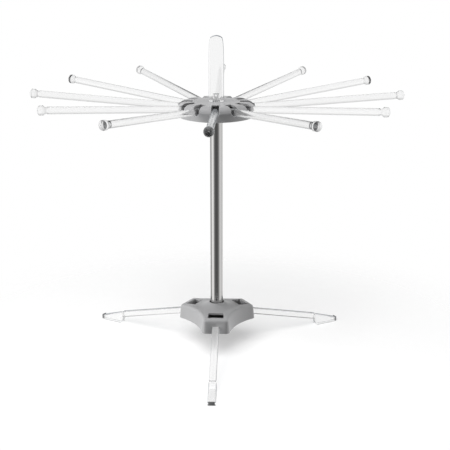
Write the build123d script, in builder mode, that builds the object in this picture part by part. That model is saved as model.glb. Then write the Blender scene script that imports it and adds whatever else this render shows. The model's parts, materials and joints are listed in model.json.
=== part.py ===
from build123d import *

import os
from math import atan2, cos, degrees, radians, sin, tan

# A free-standing pasta drying rack. Twelve clear rods fan out of a slotted hub on top of a steel column,
# and a three-lobed base under the column carries three clear legs. Each rod folds up out of its slot and
# each leg folds down out of its notch, both on trunnions moulded on their roots. A clear transfer wand
# stands on the hub, with its rod stored inside the column.
# Millimetres, +Z up, the origin on the floor under the column's axis. The front rod and the front leg
# point along -Y.

# Pattern
rod_count = 12
leg_count = 3
front_azimuth = -90
full_turn = 360
quarter_turn = 90

# Clearances
cut_over = 1.0  # every cut runs this far past the face it opens
running_gap = 0.08  # round a trunnion in its bearing
rest_gap = 0.3  # between a moving piece and what it rests on
fit_gap = 0.15  # between fixed pieces that slip together
screw_gap = 0.05  # round a screw's thread

# Column
column_diameter = 16.0
column_wall = 0.8
column_length = 279.3
sleeve_wall = 2.5  # of the sockets that hold the column in the base and in the hub

# Base
base_bottom = 34.0  # above the floor
base_end_cover = 14.7  # from the legs' pivots out to the lobes' ends
base_end_width = 34.5
base_waist_radius = 31.5
base_corner = 5.5
base_wall = 2.4
base_draft = 5.5  # degrees
base_edge_height = 17.6  # at the lobes' ends, above the base's underside
base_flat_rise = 2.4  # from the lobe's end up to the foot of the cone
base_top_fillet = 3.6
cone_foot_radius = 25.0
cone_height = 6.2  # above its foot
cone_lip = 1.6  # flat ring round the column at the cone's top
mouth_gap = 1.0  # round the column, in the counterbore at the cone's top
mouth_depth = 2.5
plate_thickness = 3.2
pocket_length = 13.0  # along the leg
pocket_width = 19.6
pocket_corner = 1.2
pocket_depth = 9.0

# Legs
leg_width = 8.5
leg_depth = 7.6
leg_edge = 1.1
leg_reach = 150.0  # from the column's axis to the leg's shoulder
leg_end_height = 12.5  # of the leg's axis at its shoulder
leg_pivot_radius = 33.5
leg_pivot_rise = 8.6  # above the base's underside
leg_trunnion_radius = 3.3
leg_trunnion_length = 17.0
leg_side_gap = 0.45
collar_length = 1.4
collar_step = 0.45
tenon_length = 12.0
tenon_width = 6.0
tenon_depth = 4.8

# Feet
foot_length = 36.0  # from the leg's shoulder to the nose
foot_width = 10.0
foot_heel = 2.5  # the sole starts this far outside the leg's shoulder
foot_nose_radius = 2.2
foot_nose_corner = 4.2
foot_top_drop = 0.4  # the foot's top lies this far under the leg's
sole_thickness = 1.4
sole_wrap = 40.0  # degrees that the sole turns up round the nose, above the horizontal

# Hub
hub_radius = 48.2
hub_foot_radius = 47.0
hub_plateau_radius = 38.0
hub_cover = 5.0  # from the column's top to the plateau
hub_shoulder_drop = 7.8  # from the plateau to the widest point
hub_wall_drop = 17.8  # from the plateau to the foot of the wall
hub_dish_depth = 4.9  # from the wall's foot to the dish's underside
hub_wall = 2.2
hub_ceiling = 2.4
hub_split_rise = 3.0  # of the split between the two central bosses, above the wall's foot
tongue_width = 1.8
tongue_rise = 2.2
ring_width = 7.6  # of the bearing ring, along the rods
hub_screw_inset = 0.6  # of the screws' heads above the dish's foot
slot_inner_radius = 29.5
slot_mouth_flare = 1.5
slot_mouth_slope = 45.0  # degrees

# Rods
rod_diameter = 8.6
rod_reach = 229.4  # from the column's axis to the end of the knob
rod_rise = 4.7  # degrees
rod_pivot_radius = 36.5
rod_pivot_drop = 7.1  # below the plateau
rod_trunnion_radius = 2.4
rod_trunnion_length = 14.0
rod_trunnion_chamfer = 0.4
knob_diameter = 11.5
knob_length = 8.6
knob_dome = 2.0
knob_edge = 1.3
knob_flare = 2.2
neck_diameter = 7.0
neck_length = 4.0
gate_diameter = 1.8
gate_height = 0.3

# Wand
wand_height = 79.8
wand_width = 18.5
wand_depth = 11.5
wand_foot_width = 18.6
wand_waist_width = 18.2
wand_waist_rise = 16.0
wand_belly_rise = 42.0
wand_top_width = 15.4
wand_shoulder_drop = 3.6  # from the top down to where the sides end
wand_crown = 0.8
wand_corner = 2.4
wand_edge = 3.6
wand_socket_depth = 9.0
wand_tip_gap = 39.6  # between the rod's tip and the plug under it

# Fasteners
small_screw_radius = 1.5
small_screw_head_radius = 2.8
small_screw_head_height = 1.8
small_screw_length = 9.0  # under the head
screw_boss_wall = 2.0
hub_screw_circle = 21.5
base_screw_circle = 20.5
column_screw_radius = 2.0
column_screw_head_radius = 4.0
column_screw_head_height = 2.0
column_screw_length = 13.0
plug_length = 14.0
drive_slot_width = 0.8
drive_slot_depth = 0.7

# Worked out: heights
plate_top = base_bottom + plate_thickness
column_top = plate_top + column_length
hub_top = column_top + hub_cover
hub_widest = hub_top - hub_shoulder_drop
hub_wall_foot = hub_top - hub_wall_drop
hub_dish_foot = hub_wall_foot - hub_dish_depth
hub_split = hub_wall_foot + hub_split_rise
ceiling_height = hub_top - hub_ceiling
rod_pivot_height = hub_top - rod_pivot_drop
base_edge_top = base_bottom + base_edge_height
cone_foot_top = base_edge_top + base_flat_rise
cone_top = cone_foot_top + cone_height
leg_pivot_height = base_bottom + leg_pivot_rise
pocket_floor = cone_foot_top - pocket_depth

# Worked out: radii, widths and angles
base_end_radius = leg_pivot_radius + base_end_cover
foot_reach = leg_reach + foot_length
column_radius = column_diameter / 2
sleeve_radius = column_radius + sleeve_wall
socket_radius = column_radius + screw_gap
rod_radius = rod_diameter / 2
slot_radius = rod_radius + rest_gap
ring_inner = rod_pivot_radius - ring_width / 2
ring_outer = rod_pivot_radius + ring_width / 2
rod_bore_radius = rod_trunnion_radius + running_gap
rod_bore_half = rod_trunnion_length / 2 + rest_gap
leg_slope = -degrees(atan2(leg_pivot_height - leg_end_height, leg_reach - leg_pivot_radius))
leg_length = (leg_reach - leg_pivot_radius) / cos(radians(leg_slope))
leg_root_radius = leg_depth / 2
channel_half = leg_width / 2 + leg_side_gap
channel_inner = leg_pivot_radius - leg_root_radius - rest_gap
leg_bore_radius = leg_trunnion_radius + running_gap
leg_bore_half = leg_trunnion_length / 2 + rest_gap
block_half = max(leg_bore_half, pocket_width / 2) + base_wall
small_bore_radius = small_screw_radius + screw_gap
screw_boss_radius = small_bore_radius + screw_boss_wall
head_bore_radius = small_screw_head_radius + fit_gap
wand_bore_radius = rod_radius + rest_gap

rod_azimuths = [front_azimuth + full_turn / rod_count * number for number in range(rod_count)]
leg_azimuths = [front_azimuth + full_turn / leg_count * number for number in range(leg_count)]
leg_names = ["front", "right", "left"]
half_leg_step = full_turn / leg_count / 2
gap_azimuths = [azimuth + half_leg_step for azimuth in leg_azimuths]


def polar(radius, azimuth, height=0):
    """A point at a radius and an azimuth from the column's axis."""
    angle = radians(azimuth)
    return (radius * cos(angle), radius * sin(angle), height)


def side_plane(azimuth, radius=0, height=0, slope=0):
    """A plane through the axis: x runs outwards along the slope, y up and z sideways."""
    angle, tilt = radians(azimuth), radians(slope)
    outwards = (cos(angle) * cos(tilt), sin(angle) * cos(tilt), sin(tilt))
    return Plane(polar(radius, azimuth, height), x_dir=outwards, z_dir=(sin(angle), -cos(angle), 0))


def cross_plane(azimuth, radius, height, slope=0):
    """A plane square to the outward direction: x runs sideways and y up."""
    angle, tilt = radians(azimuth), radians(slope)
    outwards = (cos(angle) * cos(tilt), sin(angle) * cos(tilt), sin(tilt))
    return Plane(polar(radius, azimuth, height), x_dir=(-sin(angle), cos(angle), 0), z_dir=outwards)


def plan_plane(azimuth, radius, height):
    """A level plane: x runs outwards and y sideways."""
    angle = radians(azimuth)
    return Plane(polar(radius, azimuth, height), x_dir=(cos(angle), sin(angle), 0), z_dir=(0, 0, 1))


def write(builder, name):
    """Labels a finished piece and writes its file."""
    builder.part.label = name
    export_step(builder.part, f"parts/{name}.step")


os.makedirs("parts", exist_ok=True)


# The base: a drafted three-lobed cover with a hollow cone round the column, closed from below by a plate

def base_outline(inset=0):
    """The base's plan, drawn in by an inset."""
    half_width = base_end_width / 2
    with BuildSketch() as outline:
        with BuildLine():
            for azimuth in leg_azimuths:
                end = plan_plane(azimuth, base_end_radius, 0)
                next_end = plan_plane(azimuth + full_turn / leg_count, base_end_radius, 0)
                last = end.from_local_coords((0, half_width))
                Line(end.from_local_coords((0, -half_width)), last)
                waist = polar(base_waist_radius, azimuth + half_leg_step)
                ThreePointArc(last, waist, next_end.from_local_coords((0, -half_width)))
        make_face()
        fillet(outline.vertices(), base_corner)
        if inset:
            offset(amount=-inset, mode=Mode.REPLACE)
    return outline.sketch


def base_cap(lowering=0):
    """The half section that the lobes' top and the cone are revolved to, lowered for the inside."""
    far = base_end_radius + base_end_width
    edge, foot, top = base_edge_top - lowering, cone_foot_top - lowering, cone_top - lowering
    slope = base_flat_rise / (base_end_radius - cone_foot_radius)
    mouth = socket_radius + cone_lip + lowering
    with BuildSketch() as section:
        with BuildLine():
            cone = TangentArc((cone_foot_radius, foot), (mouth, top), tangent=(-1, slope))
            Polyline(cone @ 1, (0, top), (0, base_bottom - cut_over), (far, base_bottom - cut_over),
                     (far, edge - slope * (far - base_end_radius)), cone @ 0)
        make_face()
    return section.sketch


with BuildPart() as base_hollow:
    with BuildSketch(Plane.XY.offset(base_bottom)):
        add(base_outline(base_wall))
    extrude(amount=cone_top - base_bottom, taper=base_draft)
    with BuildSketch(Plane.XZ):
        add(base_cap(base_wall))
    revolve(axis=Axis.Z, mode=Mode.INTERSECT)

with BuildPart() as base_cover:
    with BuildSketch(Plane.XY.offset(base_bottom)):
        add(base_outline())
    extrude(amount=cone_top - base_bottom, taper=base_draft)
    with BuildSketch(Plane.XZ):
        add(base_cap())
    revolve(axis=Axis.Z, mode=Mode.INTERSECT)
    rim = edges().filter_by(
        lambda edge: edge.bounding_box().min.Z > base_edge_top - base_edge_height / 2)
    rim = rim.filter_by(lambda edge: Vector(edge.center().X, edge.center().Y).length > cone_foot_radius)
    fillet(rim, base_top_fillet)
    add(base_hollow.part, mode=Mode.SUBTRACT)

    # the sleeve round the column, the bosses for the plate's screws and the bearing block of each leg
    with BuildSketch(Plane.XY.offset(plate_top)):
        Circle(sleeve_radius)
    extrude(amount=cone_top - base_wall / 2 - plate_top)
    with BuildSketch(Plane.XY.offset(plate_top)):
        with PolarLocations(base_screw_circle, leg_count, start_angle=gap_azimuths[0]):
            Circle(screw_boss_radius)
    extrude(amount=cone_foot_top - base_wall / 2 - plate_top)
    for azimuth in leg_azimuths:
        block_inner = channel_inner - base_wall / 2
        with BuildSketch(plan_plane(azimuth, block_inner, plate_top)):
            Rectangle(base_end_radius - base_wall - block_inner, block_half * 2,
                      align=(Align.MIN, Align.CENTER))
        extrude(amount=base_edge_top - base_wall / 2 - plate_top)

    for azimuth in leg_azimuths:
        # the pocket over the leg's root
        with BuildSketch(plan_plane(azimuth, leg_pivot_radius, pocket_floor)):
            RectangleRounded(pocket_length, pocket_width, pocket_corner)
        extrude(amount=cone_top - pocket_floor, mode=Mode.SUBTRACT)
        # the channel that the leg swings down in, with a bridge over it that stops the leg
        side = side_plane(azimuth)
        along = tan(radians(leg_slope))
        roof = leg_pivot_height + (leg_root_radius + rest_gap) / cos(radians(leg_slope))
        far = base_end_radius + cut_over
        with BuildSketch(side):
            with BuildLine():
                Polyline((channel_inner, base_bottom - cut_over), (far, base_bottom - cut_over),
                         (far, roof + along * (far - leg_pivot_radius)),
                         (channel_inner, roof + along * (channel_inner - leg_pivot_radius)), close=True)
            make_face()
        extrude(amount=channel_half, both=True, mode=Mode.SUBTRACT)
        # the saddle for the leg's trunnions, open to the pocket
        with BuildSketch(side_plane(azimuth, leg_pivot_radius, leg_pivot_height)):
            Circle(leg_bore_radius)
            Rectangle(leg_bore_radius * 2, pocket_floor + cut_over - leg_pivot_height,
                      align=(Align.CENTER, Align.MIN))
        extrude(amount=leg_bore_half, both=True, mode=Mode.SUBTRACT)

    with BuildSketch(Plane.XY.offset(base_bottom)):
        Circle(socket_radius)
    extrude(amount=cone_top - base_bottom + cut_over, mode=Mode.SUBTRACT)
    with BuildSketch(Plane.XY.offset(cone_top - mouth_depth)):
        Circle(column_radius + mouth_gap)
    extrude(amount=mouth_depth + cut_over, mode=Mode.SUBTRACT)
    with BuildSketch(Plane.XY.offset(plate_top)):
        with PolarLocations(base_screw_circle, leg_count, start_angle=gap_azimuths[0]):
            Circle(small_bore_radius)
    extrude(amount=small_screw_length, mode=Mode.SUBTRACT)
write(base_cover, "base_cover")

with BuildPart() as base_plate:
    with BuildSketch(Plane.XY.offset(base_bottom)):
        add(base_outline(base_wall + fit_gap))
    extrude(amount=plate_thickness, taper=base_draft)
    for azimuth in leg_azimuths:
        with BuildSketch(plan_plane(azimuth, channel_inner - fit_gap, base_bottom)):
            Rectangle(base_end_radius, channel_half * 2, align=(Align.MIN, Align.CENTER))
        extrude(amount=plate_thickness, mode=Mode.SUBTRACT)
    with BuildSketch(Plane.XY.offset(base_bottom)):
        Circle(column_screw_radius + fit_gap)
        with PolarLocations(base_screw_circle, leg_count, start_angle=gap_azimuths[0]):
            Circle(small_bore_radius)
    extrude(amount=plate_thickness, mode=Mode.SUBTRACT)
    with BuildSketch(Plane.XY.offset(base_bottom)):
        Circle(column_screw_head_radius + fit_gap)
    extrude(amount=column_screw_head_height, mode=Mode.SUBTRACT)
    with BuildSketch(Plane.XY.offset(base_bottom)):
        with PolarLocations(base_screw_circle, leg_count, start_angle=gap_azimuths[0]):
            Circle(head_bore_radius)
    extrude(amount=small_screw_head_height, mode=Mode.SUBTRACT)
write(base_plate, "base_plate")


# The column: a steel tube on the plate, with a plug in its foot that the column screw pulls down

with BuildPart() as column_tube:
    with BuildSketch(Plane.XY.offset(plate_top)):
        Circle(column_radius)
        Circle(column_radius - column_wall, mode=Mode.SUBTRACT)
    extrude(amount=column_length)
write(column_tube, "column_tube")

with BuildPart() as column_plug:
    with BuildSketch(Plane.XY.offset(plate_top)):
        Circle(column_radius - column_wall - screw_gap)
        Circle(column_screw_radius + screw_gap, mode=Mode.SUBTRACT)
    extrude(amount=plug_length)
write(column_plug, "column_plug")


def screw(radius, head_radius, head_height, length):
    """A screw with its head down and a slot for the driver, on the current locations."""
    Cylinder(head_radius, head_height, align=(Align.CENTER, Align.CENTER, Align.MIN))
    with Locations((0, 0, head_height)):
        Cylinder(radius, length, align=(Align.CENTER, Align.CENTER, Align.MIN))
    Box(head_radius * 2, drive_slot_width, drive_slot_depth,
        align=(Align.CENTER, Align.CENTER, Align.MIN), mode=Mode.SUBTRACT)


with BuildPart() as screw_shape:
    screw(small_screw_radius, small_screw_head_radius, small_screw_head_height, small_screw_length)

with BuildPart() as column_screw_shape:
    screw(column_screw_radius, column_screw_head_radius, column_screw_head_height, column_screw_length)

with BuildPart() as column_screw:
    with Locations((0, 0, base_bottom)):
        add(column_screw_shape.part)
write(column_screw, "column_screw")

with BuildPart() as base_screws:
    with Locations((0, 0, base_bottom)):
        with PolarLocations(base_screw_circle, leg_count, start_angle=gap_azimuths[0]):
            add(screw_shape.part)
write(base_screws, "base_screws")


def slot_cutter(azimuth):
    """What a rod's slot takes out of the hub: a round-bottomed channel with a flared mouth."""
    rise = tan(radians(rod_rise))
    inner_height = rod_pivot_height - (rod_pivot_radius - slot_inner_radius) * rise
    mouth_height = rod_pivot_height + (hub_radius - rod_pivot_radius) * rise
    tall = hub_top - inner_height + cut_over
    with BuildPart() as cutter:
        with BuildSketch(cross_plane(azimuth, slot_inner_radius, inner_height, rod_rise)):
            Circle(slot_radius)
            Rectangle(slot_radius * 2, tall, align=(Align.CENTER, Align.MIN))
        extrude(amount=hub_radius - slot_inner_radius + cut_over)
        with BuildSketch(cross_plane(azimuth, hub_radius, mouth_height, rod_rise)):
            Circle(slot_radius + slot_mouth_flare)
            Rectangle((slot_radius + slot_mouth_flare) * 2, tall, align=(Align.CENTER, Align.MIN))
        extrude(amount=-slot_mouth_flare * 2, taper=slot_mouth_slope)
        with BuildSketch(side_plane(azimuth, rod_pivot_radius, rod_pivot_height)):
            Circle(rod_bore_radius)
        extrude(amount=rod_bore_half, both=True)
    return cutter.part


# The hub: a slotted cap over a shallow dish. Their rings meet at the height of the rods' pivots, and each
# rod's trunnions turn in bores that are half in the cap and half in the dish

with BuildPart() as hub_upper:
    with BuildSketch(Plane.XZ):
        with BuildLine():
            plateau = Line((0, hub_top), (hub_plateau_radius, hub_top))
            shoulder = TangentArc(plateau @ 1, (hub_radius, hub_widest), tangent=(1, 0))
            Polyline(shoulder @ 1, (hub_foot_radius, hub_wall_foot), (0, hub_wall_foot), (0, hub_top))
        make_face()
    revolve(axis=Axis.Z)
    with BuildSketch(Plane.XZ):
        with BuildLine():
            ceiling = Line((sleeve_radius, ceiling_height), (hub_plateau_radius, ceiling_height))
            inside = TangentArc(ceiling @ 1, (hub_radius - hub_wall, hub_widest), tangent=(1, 0))
            Polyline(inside @ 1, (hub_foot_radius - hub_wall, hub_wall_foot), (0, hub_wall_foot),
                     (0, hub_split), (sleeve_radius, hub_split), ceiling @ 0)
        make_face()
    revolve(axis=Axis.Z, mode=Mode.SUBTRACT)
    # the bearing ring and the bosses for the dish's screws hang from the ceiling
    with BuildSketch(Plane.XY.offset(rod_pivot_height)):
        Circle(ring_outer)
        Circle(ring_inner, mode=Mode.SUBTRACT)
    extrude(amount=hub_top - hub_ceiling / 2 - rod_pivot_height)
    with BuildSketch(Plane.XY.offset(hub_split)):
        with PolarLocations(hub_screw_circle, leg_count, start_angle=front_azimuth):
            Circle(screw_boss_radius)
    extrude(amount=hub_top - hub_ceiling / 2 - hub_split)
    with BuildSketch(Plane.XY.offset(hub_split)):
        with PolarLocations(hub_screw_circle, leg_count, start_angle=front_azimuth):
            Circle(small_bore_radius)
    extrude(amount=small_screw_length, mode=Mode.SUBTRACT)
    with BuildSketch(Plane.XY.offset(hub_wall_foot)):
        Circle(socket_radius)
    extrude(amount=column_top - hub_wall_foot, mode=Mode.SUBTRACT)
    with BuildSketch(Plane.XY.offset(column_top)):
        Circle(wand_bore_radius)
    extrude(amount=hub_cover, mode=Mode.SUBTRACT)
    for azimuth in rod_azimuths:
        add(slot_cutter(azimuth), mode=Mode.SUBTRACT)
write(hub_upper, "hub_upper")

with BuildPart() as hub_lower:
    with BuildSketch(Plane.XZ):
        with BuildLine():
            collar = Line((socket_radius, hub_dish_foot), (sleeve_radius, hub_dish_foot))
            dish = TangentArc(collar @ 1, (hub_foot_radius, hub_wall_foot), tangent=(1, 0))
            tongue_outer = hub_foot_radius - hub_wall - fit_gap
            rim_top = Polyline(dish @ 1, (tongue_outer, hub_wall_foot),
                               (tongue_outer, hub_wall_foot + tongue_rise),
                               (tongue_outer - tongue_width, hub_wall_foot + tongue_rise),
                               (tongue_outer - tongue_width, hub_wall_foot + hub_wall / 2))
            floor = TangentArc((sleeve_radius, hub_dish_foot + hub_wall), rim_top @ 1, tangent=(1, 0))
            Polyline(floor @ 0, (sleeve_radius, hub_split), (socket_radius, hub_split), collar @ 0)
        make_face()
        with Locations((rod_pivot_radius, hub_wall_foot - hub_wall / 2)):
            Rectangle(ring_width, rod_pivot_height - hub_wall_foot + hub_wall / 2,
                      align=(Align.CENTER, Align.MIN))
    revolve(axis=Axis.Z)
    with BuildSketch(Plane.XY.offset(hub_dish_foot + hub_wall / 2)):
        with PolarLocations(hub_screw_circle, leg_count, start_angle=front_azimuth):
            Circle(screw_boss_radius)
    extrude(amount=hub_split - hub_dish_foot - hub_wall / 2)
    with BuildSketch(Plane.XY.offset(hub_dish_foot)):
        with PolarLocations(hub_screw_circle, leg_count, start_angle=front_azimuth):
            Circle(small_bore_radius)
    extrude(amount=hub_split - hub_dish_foot, mode=Mode.SUBTRACT)
    with BuildSketch(Plane.XY.offset(hub_dish_foot)):
        with PolarLocations(hub_screw_circle, leg_count, start_angle=front_azimuth):
            Circle(head_bore_radius)
    extrude(amount=hub_screw_inset + small_screw_head_height, mode=Mode.SUBTRACT)
    for azimuth in rod_azimuths:
        add(slot_cutter(azimuth), mode=Mode.SUBTRACT)
write(hub_lower, "hub_lower")

with BuildPart() as hub_screws:
    with Locations((0, 0, hub_dish_foot + hub_screw_inset)):
        with PolarLocations(hub_screw_circle, leg_count, start_angle=front_azimuth):
            add(screw_shape.part)
write(hub_screws, "hub_screws")


# The rods: each one clear moulding, from the root on its trunnions to a grooved neck and a domed knob

rod_length = (rod_reach - rod_pivot_radius) / cos(radians(rod_rise))
neck_start = rod_length - knob_length - neck_length
knob_start = rod_length - knob_length
knob_radius = knob_diameter / 2

for number, azimuth in enumerate(rod_azimuths, 1):
    rod_plane = side_plane(azimuth, rod_pivot_radius, rod_pivot_height, rod_rise)
    with BuildPart() as rod:
        with BuildSketch(rod_plane) as rod_section:
            with BuildLine():
                root = CenterArc((0, 0), rod_radius, full_turn / 2, -quarter_turn)
                side = Polyline(root @ 1, (neck_start, rod_radius),
                                (neck_start + neck_length / 2, neck_diameter / 2),
                                (knob_start, rod_radius), (knob_start + knob_flare, knob_radius),
                                (rod_length - knob_dome, knob_radius))
                dome = TangentArc((rod_length, 0), side @ 1, tangent=(0, 1))
                Line(dome @ 0, root @ 0)
            make_face()
            knob_corner = (rod_length - knob_dome, knob_radius, 0)
            fillet(rod_section.vertices().sort_by_distance(knob_corner)[0], knob_edge)
            with Locations((rod_length - knob_dome / 2, 0)):
                Rectangle(knob_dome / 2 + gate_height, gate_diameter / 2, align=(Align.MIN, Align.MIN))
        revolve(axis=Axis(rod_plane.origin, rod_plane.x_dir))
        with BuildSketch(rod_plane):
            Circle(rod_trunnion_radius)
        extrude(amount=rod_trunnion_length / 2, both=True)
        trunnion_ends = rod.edges().filter_by(GeomType.CIRCLE).group_by(
            lambda edge: abs((edge.center() - rod_plane.origin).dot(rod_plane.z_dir)))[-1]
        chamfer(trunnion_ends, rod_trunnion_chamfer)
    write(rod, f"rod_{number:02}")


# The legs: a clear bar with a trunnioned root and a tenon in the foot, which stands on an anti-slip sole

def leg_point(distance, rise=0):
    """Radius and height of a point along the leg's axis and above it."""
    tilt = radians(leg_slope)
    return (leg_pivot_radius + distance * cos(tilt) - rise * sin(tilt),
            leg_pivot_height + distance * sin(tilt) + rise * cos(tilt))


foot_top = leg_point(leg_length, leg_depth / 2 - foot_top_drop)
foot_back = leg_point(leg_length, foot_top_drop - leg_depth / 2)
heel_radius = leg_reach + foot_heel
nose_radius = foot_reach - sole_thickness - foot_nose_radius
nose_height = sole_thickness + foot_nose_radius
nose_rise = quarter_turn + leg_slope


def foot_plan(reach):
    """The foot's plan out to a reach, with a rounded nose."""
    with BuildSketch() as plan:
        with Locations((reach, 0)):
            Rectangle(reach - leg_pivot_radius, foot_width, align=(Align.MAX, Align.CENTER))
        fillet(plan.vertices().group_by(Axis.X)[-1], foot_nose_corner)
    return plan.sketch


for name, azimuth in zip(leg_names, leg_azimuths):
    with BuildPart() as leg:
        with BuildSketch(cross_plane(azimuth, *leg_point(0), leg_slope)):
            RectangleRounded(leg_width, leg_depth, leg_edge)
        extrude(amount=leg_length)
        with BuildSketch(cross_plane(azimuth, *leg_point(leg_length - collar_length), leg_slope)):
            RectangleRounded(leg_width + 2 * collar_step, leg_depth + 2 * collar_step, leg_edge)
        extrude(amount=collar_length)
        with BuildSketch(cross_plane(azimuth, *leg_point(leg_length), leg_slope)):
            Rectangle(tenon_width, tenon_depth)
        extrude(amount=tenon_length)
        with BuildSketch(side_plane(azimuth, leg_pivot_radius, leg_pivot_height)):
            Circle(leg_root_radius)
        extrude(amount=leg_width / 2, both=True)
        with BuildSketch(side_plane(azimuth, leg_pivot_radius, leg_pivot_height)):
            Circle(leg_trunnion_radius)
        extrude(amount=leg_trunnion_length / 2, both=True)
    write(leg, f"leg_{name}")

    with BuildPart() as foot:
        with BuildSketch(side_plane(azimuth)):
            with BuildLine():
                nose = CenterArc((nose_radius, nose_height), foot_nose_radius, -quarter_turn,
                                 quarter_turn + nose_rise)
                Polyline(nose @ 1, foot_top, foot_back, (heel_radius, sole_thickness), nose @ 0)
            make_face()
        extrude(amount=foot_width / 2, both=True)
        with BuildSketch(plan_plane(azimuth, 0, 0)):
            add(foot_plan(foot_reach - sole_thickness))
        extrude(amount=leg_pivot_height, mode=Mode.INTERSECT)
        with BuildSketch(cross_plane(azimuth, *leg_point(leg_length), leg_slope)):
            Rectangle(tenon_width + 2 * screw_gap, tenon_depth + 2 * screw_gap)
        extrude(amount=tenon_length + rest_gap, mode=Mode.SUBTRACT)
    write(foot, f"foot_{name}")

    with BuildPart() as sole:
        with BuildSketch(side_plane(azimuth)):
            with BuildLine():
                outer = CenterArc((nose_radius, nose_height), foot_nose_radius + sole_thickness,
                                  -quarter_turn, quarter_turn + sole_wrap)
                inner = CenterArc((nose_radius, nose_height), foot_nose_radius + screw_gap,
                                  -quarter_turn, quarter_turn + sole_wrap)
                Line(outer @ 1, inner @ 1)
                Polyline(inner @ 0, (heel_radius, sole_thickness - screw_gap), (heel_radius, 0),
                         outer @ 0)
            make_face()
        extrude(amount=foot_width / 2, both=True)
        with BuildSketch(plan_plane(azimuth, 0, 0)):
            add(foot_plan(foot_reach))
        extrude(amount=leg_pivot_height, mode=Mode.INTERSECT)
    write(sole, f"sole_{name}")


# The wand: a flat, faintly waisted grip that stands on the hub, with its rod down inside the column

wand_foot = hub_top + rest_gap
wand_top = wand_foot + wand_height

with BuildPart() as wand_grip:
    with BuildSketch(Plane.XZ):
        with BuildLine():
            shoulder_height = wand_top - wand_shoulder_drop
            flank = Spline((wand_foot_width / 2, wand_foot),
                           (wand_waist_width / 2, wand_foot + wand_waist_rise),
                           (wand_width / 2, wand_foot + wand_belly_rise),
                           (wand_top_width / 2, shoulder_height))
            corner = TangentArc(flank @ 1, (wand_top_width / 2 - wand_corner, wand_top - wand_crown),
                                tangent=flank % 1)
            ThreePointArc(corner @ 1, (0, wand_top),
                          (wand_corner - wand_top_width / 2, wand_top - wand_crown))
            mirror(about=Plane.YZ)
            Line((-wand_foot_width / 2, wand_foot), flank @ 0)
        make_face()
    extrude(amount=wand_depth / 2, both=True)
    long_edges = wand_grip.faces().filter_by(Axis.Y).edges()
    fillet(long_edges.filter_by(lambda edge: edge.center().Z > wand_foot), wand_edge)
    with BuildSketch(Plane.XY.offset(wand_foot)):
        Circle(rod_radius + screw_gap)
    extrude(amount=wand_socket_depth, mode=Mode.SUBTRACT)
write(wand_grip, "wand_grip")

with BuildPart() as wand_rod:
    wand_rod_top = wand_foot + wand_socket_depth
    wand_rod_tip = plate_top + plug_length + wand_tip_gap
    with BuildSketch(Plane.XZ):
        with BuildLine():
            tip = CenterArc((0, wand_rod_tip + rod_radius), rod_radius, -quarter_turn, quarter_turn)
            Polyline(tip @ 1, (rod_radius, wand_rod_top), (0, wand_rod_top), tip @ 0)
        make_face()
    revolve(axis=Axis.Z)
write(wand_rod, "wand_rod")
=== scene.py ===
import json
import math

import bmesh
import bpy
from mathutils import Matrix, Vector

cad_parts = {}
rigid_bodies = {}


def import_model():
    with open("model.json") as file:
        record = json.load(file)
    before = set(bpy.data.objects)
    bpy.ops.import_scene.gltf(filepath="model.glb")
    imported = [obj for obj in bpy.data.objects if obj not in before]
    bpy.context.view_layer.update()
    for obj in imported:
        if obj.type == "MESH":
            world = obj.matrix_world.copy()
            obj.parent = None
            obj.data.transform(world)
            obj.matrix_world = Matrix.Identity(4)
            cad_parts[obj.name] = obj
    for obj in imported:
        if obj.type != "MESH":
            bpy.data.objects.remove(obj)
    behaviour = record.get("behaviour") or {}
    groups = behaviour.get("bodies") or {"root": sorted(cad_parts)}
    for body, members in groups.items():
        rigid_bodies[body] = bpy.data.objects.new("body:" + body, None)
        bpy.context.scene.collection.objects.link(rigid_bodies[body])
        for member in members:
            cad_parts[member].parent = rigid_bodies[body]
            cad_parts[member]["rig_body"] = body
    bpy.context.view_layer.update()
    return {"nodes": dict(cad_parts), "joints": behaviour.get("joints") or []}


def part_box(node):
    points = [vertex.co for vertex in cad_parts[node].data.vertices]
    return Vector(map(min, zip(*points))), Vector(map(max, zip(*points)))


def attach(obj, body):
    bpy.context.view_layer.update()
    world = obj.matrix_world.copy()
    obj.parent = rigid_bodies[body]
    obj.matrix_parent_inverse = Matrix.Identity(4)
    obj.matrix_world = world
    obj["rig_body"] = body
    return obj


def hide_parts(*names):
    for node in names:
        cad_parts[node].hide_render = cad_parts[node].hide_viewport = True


# The dressed model of a pasta drying rack: clear rods, legs and wand, grey hub and base, steel column.
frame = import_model()
print("frame loaded:", len(frame["nodes"]), "nodes")

mm = 0.001
weldGap = 0.001 * mm  # points closer than this are one point
# in degrees, the turn from which an edge stays hard: on shapes made here, on copied and on subdivided ones
hardTurn, copiedTurn, softTurn = 35, 32, 60
bpy.context.scene.view_settings.view_transform = "Standard"


# Colours and materials.

def linearColour(hexColour):
    # an sRGB hex value as the linear colour that the shaders take
    channels = [int(hexColour[i:i + 2], 16) / 255 for i in (1, 3, 5)]
    return [c / 12.92 if c <= 0.04045 else ((c + 0.055) / 1.055) ** 2.4 for c in channels] + [1.0]


def addNode(tree, kind, settings=None, inputs=None, links=None):
    # one node with its settings, and its sockets by name or number with their values or links
    node = tree.nodes.new(kind)
    for name, value in (settings or {}).items():
        setattr(node, name, value)
    for name, value in (inputs or {}).items():
        node.inputs[name].default_value = value
    for name, socket in (links or {}).items():
        tree.links.new(socket, node.inputs[name])
    return node


def startMaterial(name):
    material = bpy.data.materials.new(name)
    material.use_nodes = True
    material.node_tree.nodes.clear()
    return material, material.node_tree


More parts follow.
